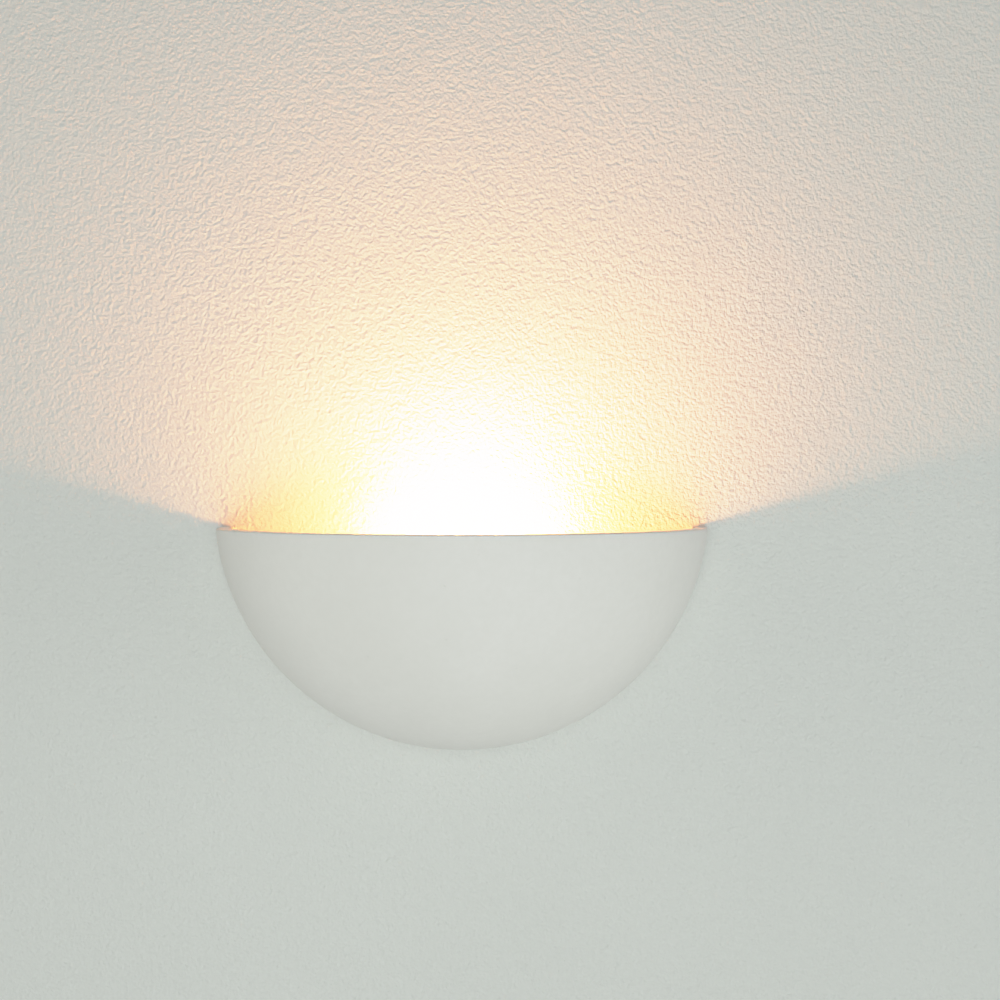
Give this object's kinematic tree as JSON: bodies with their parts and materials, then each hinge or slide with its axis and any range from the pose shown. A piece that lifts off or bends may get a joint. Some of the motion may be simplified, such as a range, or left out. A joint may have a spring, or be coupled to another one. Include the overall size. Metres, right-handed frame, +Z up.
{
  "type": "uplighter wall sconce",
  "caption": "Half-round matt white ceramic uplighter with an open top that hangs on a hidden wall bracket, with a horizontal small-cap candle lamp inside.",
  "frame": {"origin": "on the wall plane, midway between the two wall slots of the bracket and on the axis of the cable entry", "axes": "+Z up; +X to the right as a viewer in front of the light sees it; the wall is the plane y = 0 and the light stands out towards -Y"},
  "size_m": [0.2996, 0.1311, 0.1357],
  "materials": {
    "bowl": "unglazed matt bisque",
    "hanger": "zinc plated",
    "zinc_screws": "yellow zinc plated",
    "brass_inserts": "machined",
    "bracket": "satin white powder coat",
    "arm": "zinc plated",
    "rivets": "plain",
    "grommet": "matt",
    "terminal_plastic": "satin nylon",
    "terminal_brass": "machined",
    "terminal_screws": "zinc plated",
    "earth_washer": "zinc plated",
    "earth_lug": "tinned",
    "wire_brown": "heat resistant sleeving",
    "wire_blue": "heat resistant sleeving",
    "wire_green_yellow": "green and yellow sleeving",
    "ferrules": "tinned",
    "porcelain": "glazed",
    "shell_brass": "plain",
    "bronze": "spring bronze",
    "holder_screws": "zinc plated",
    "solder": "dull solder",
    "cap_glass": "black vitrite",
    "cap_nickel": "plain",
    "lamp_glass": "opal",
    "stem_glass": "clear",
    "lead_wire": "nickel wire",
    "filament": "tungsten coil",
    "support_wire": "molybdenum wire"
  },
  "bodies": {
    "fixture": {"wall_bracket": "bracket", "lamp_arm": "arm", "arm_rivets": "rivets", "cable_grommet": "grommet", "terminal_housing": "terminal_plastic", "terminal_tubes": "terminal_brass", "terminal_screws": "terminal_screws", "terminal_fixing_screws": "terminal_screws", "earth_screw": "zinc_screws", "earth_washer": "earth_washer", "earth_lug": "earth_lug", "wire_live": "wire_brown", "wire_neutral": "wire_blue", "wire_earth": "wire_green_yellow", "wire_ferrules": "ferrules", "holder_body": "porcelain", "screw_shell": "shell_brass", "centre_contact": "bronze", "side_contact": "bronze", "contact_rivets": "shell_brass", "holder_screws": "holder_screws"},
    "bowl": {"bowl_shell": "bowl", "hanger_plate_left": "hanger", "hanger_plate_right": "hanger", "hanger_screws": "zinc_screws", "hanger_inserts": "brass_inserts"},
    "lamp_foot": {"lamp_contact": "solder", "lamp_insulator": "cap_glass"},
    "lamp": {"lamp_cap": "cap_nickel", "lamp_glass": "lamp_glass", "lamp_stem": "stem_glass", "lead_in_wires": "lead_wire", "filament": "filament", "filament_supports": "support_wire"}
  },
  "joints": [
    {"name": "bowl_lift", "type": "slide", "parent": "fixture", "child": "bowl", "axis": [0, 0, 1], "range_m": [0, 0.012]},
    {"name": "bulb_travel", "type": "slide", "parent": "fixture", "child": "lamp_foot", "axis": [1, 0, 0], "range_m": [0, 0.01693]},
    {"name": "bulb_turn", "type": "hinge", "parent": "lamp_foot", "child": "lamp", "pos_m": [0, -0.042, 0.024], "axis": [1, 0, 0], "range_deg": [0, 2160]}
  ],
  "couplings": [
    {"joint": "bulb_turn", "follows": "bulb_travel", "rad_per_m": 2226.5}
  ]
}
